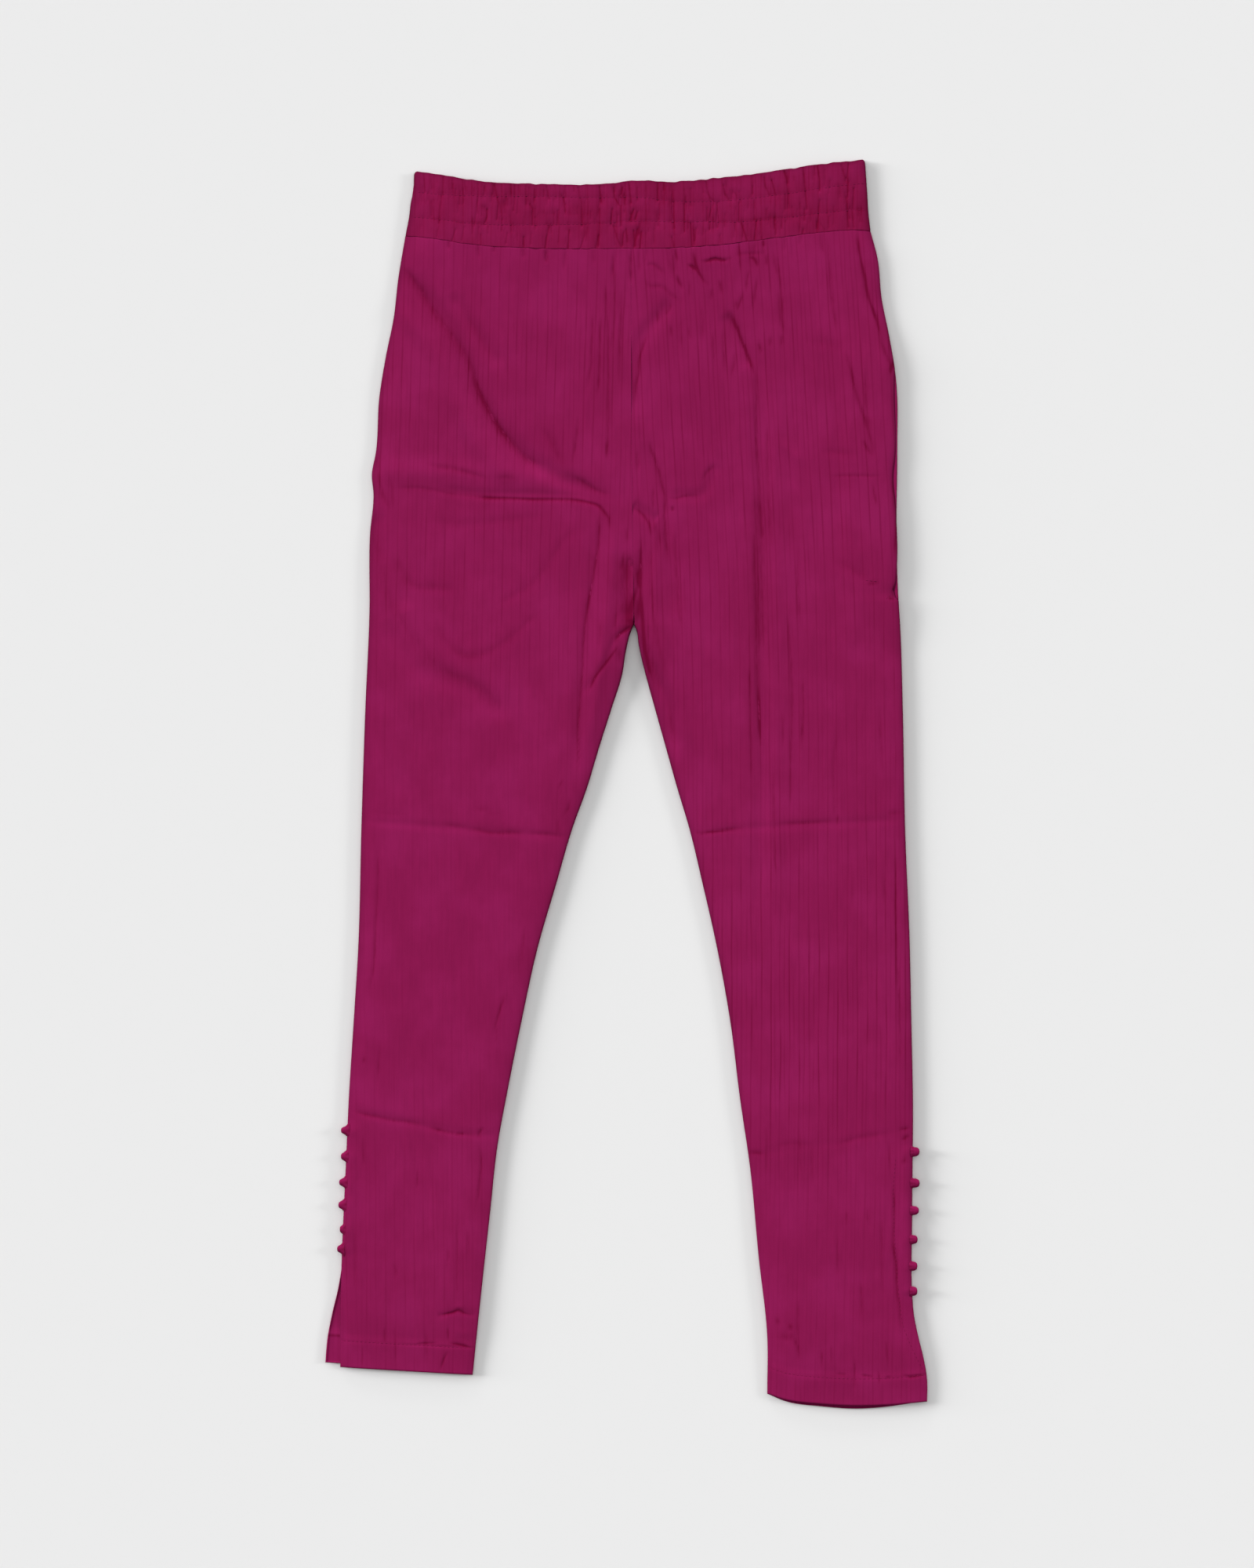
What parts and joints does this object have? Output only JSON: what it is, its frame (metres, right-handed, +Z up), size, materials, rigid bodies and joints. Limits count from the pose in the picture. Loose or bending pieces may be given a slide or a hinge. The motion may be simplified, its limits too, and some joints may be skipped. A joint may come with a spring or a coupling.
{
  "type": "slim pants laid flat",
  "caption": "Slim cotton pants laid flat, with a gathered elastic waistband, a side seam pocket opening and ball buttons at slit ankles.",
  "frame": {"origin": "centre of the bounding box, on the surface that the pants lie on", "axes": "+Y from the hems towards the waistband, +X towards the picture's right, +Z up from the surface, out of the front of the pants"},
  "size_m": [0.4763, 0.9884, 0.0078],
  "materials": {
    "leg_cotton": "raspberry cotton with a faint crinkled stripe down its length, soft and nearly matt",
    "band_cotton": "the same raspberry cotton, gathered over elastic and stitched into three channels",
    "button_cotton": "the same raspberry cotton, drawn tight over small balls"
  },
  "bodies": {
    "root": {"waistband": "band_cotton", "front_left": "leg_cotton", "front_right": "leg_cotton", "back_left": "leg_cotton", "back_right": "leg_cotton", "pocket_facing": "leg_cotton", "button_left_1": "button_cotton", "button_left_2": "button_cotton", "button_left_3": "button_cotton", "button_left_4": "button_cotton", "button_left_5": "button_cotton", "button_left_6": "button_cotton", "button_right_1": "button_cotton", "button_right_2": "button_cotton", "button_right_3": "button_cotton", "button_right_4": "button_cotton", "button_right_5": "button_cotton", "button_right_6": "button_cotton"}
  },
  "joints": []
}
